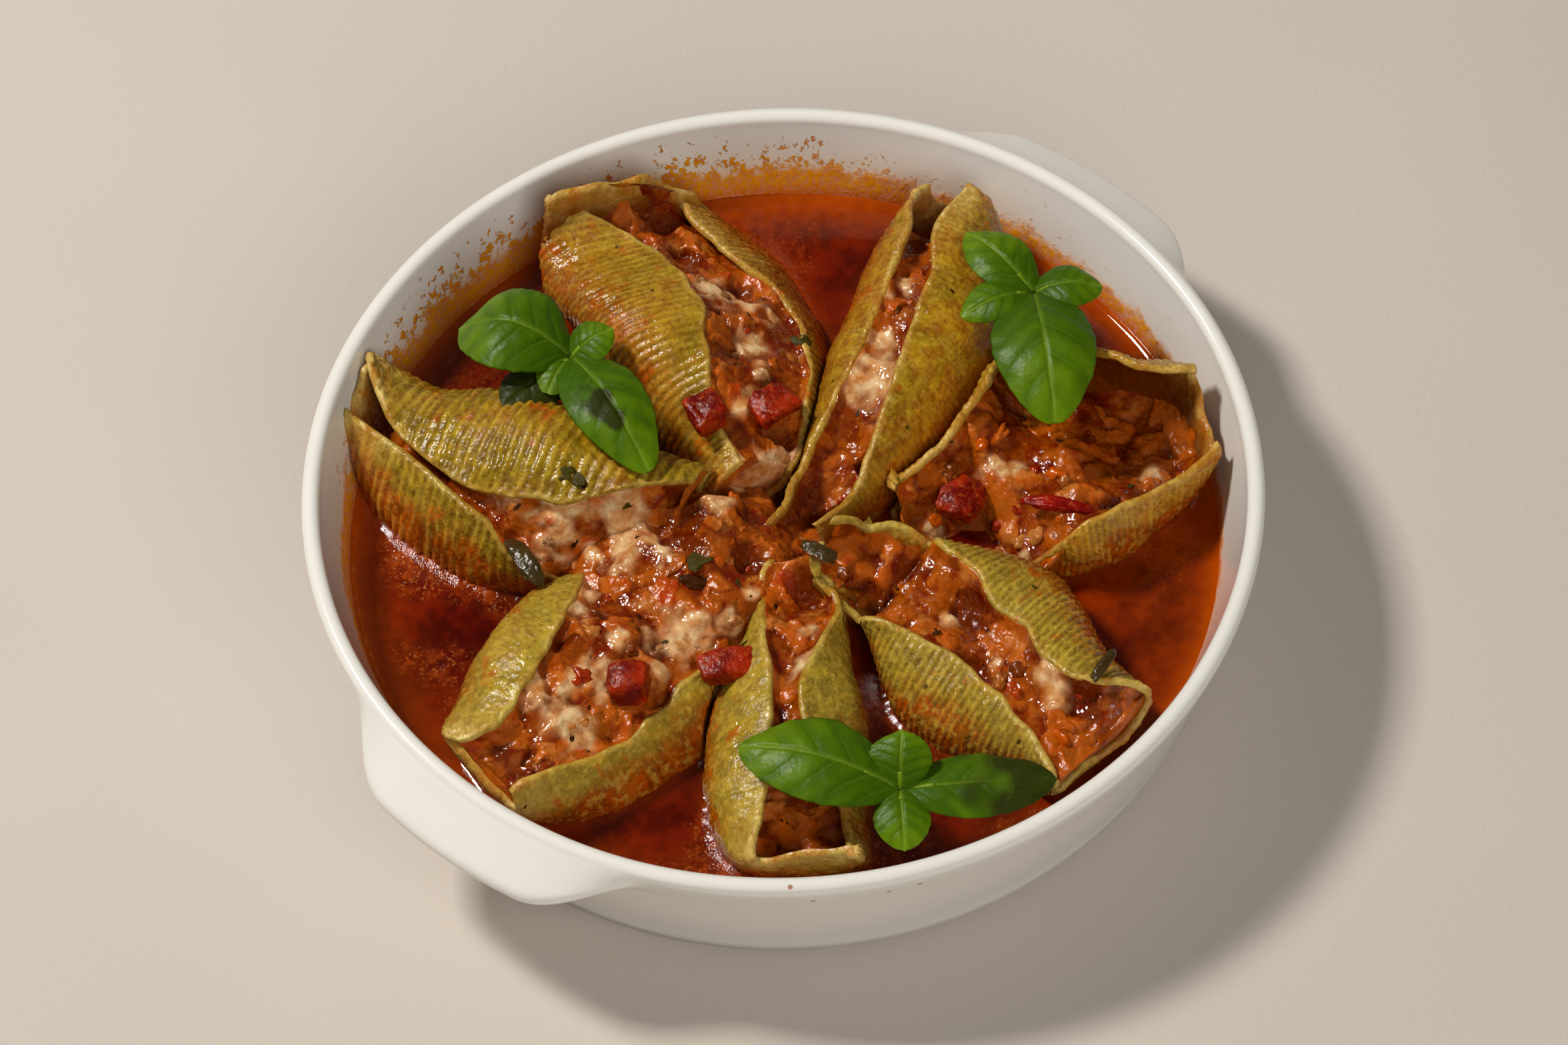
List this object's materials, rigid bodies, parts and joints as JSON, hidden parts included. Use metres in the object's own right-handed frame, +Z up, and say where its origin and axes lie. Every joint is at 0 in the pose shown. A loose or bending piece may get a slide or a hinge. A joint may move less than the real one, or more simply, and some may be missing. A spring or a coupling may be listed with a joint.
{
  "type": "stuffed pasta shells in a baking dish",
  "caption": "Large baked pasta shells with a meat, tomato and melted cheese filling, standing in red sauce in a round porcelain dish with lugs, topped with basil.",
  "frame": {"origin": "middle of the dish's flat base", "axes": "+X runs through the two lugs, +Z up"},
  "size_m": [0.221, 0.202, 0.052],
  "materials": {
    "porcelain": "white gloss glaze with baked-on orange spatter inside",
    "sauce": "wet, dark red-brown, oily, grainy in places",
    "pasta": "ribbed cooked pasta, olive to golden brown, oily",
    "filling": "moist mince and vegetables under melted cheese",
    "tomato": "wet cooked tomato",
    "pepper": "wet strip of red pepper",
    "aubergine": "dark, wrinkled, wet skin",
    "basil": "fresh green leaf with a soft sheen and pale veins"
  },
  "bodies": {
    "root": {"dish": "porcelain", "sauce": "sauce", "shell_1": "pasta", "shell_2": "pasta", "shell_3": "pasta", "shell_4": "pasta", "shell_5": "pasta", "shell_6": "pasta", "shell_7": "pasta", "filling_1": "filling", "filling_2": "filling", "filling_3": "filling", "filling_4": "filling", "filling_5": "filling", "filling_6": "filling", "filling_7": "filling", "filling_heap": "filling", "tomato_1": "tomato", "tomato_2": "tomato", "tomato_3": "tomato", "tomato_4": "tomato", "tomato_5": "tomato", "pepper_1": "pepper", "aubergine_1": "aubergine", "aubergine_2": "aubergine", "aubergine_3": "aubergine", "basil_1": "basil", "basil_2": "basil", "basil_3": "basil"}
  },
  "joints": []
}
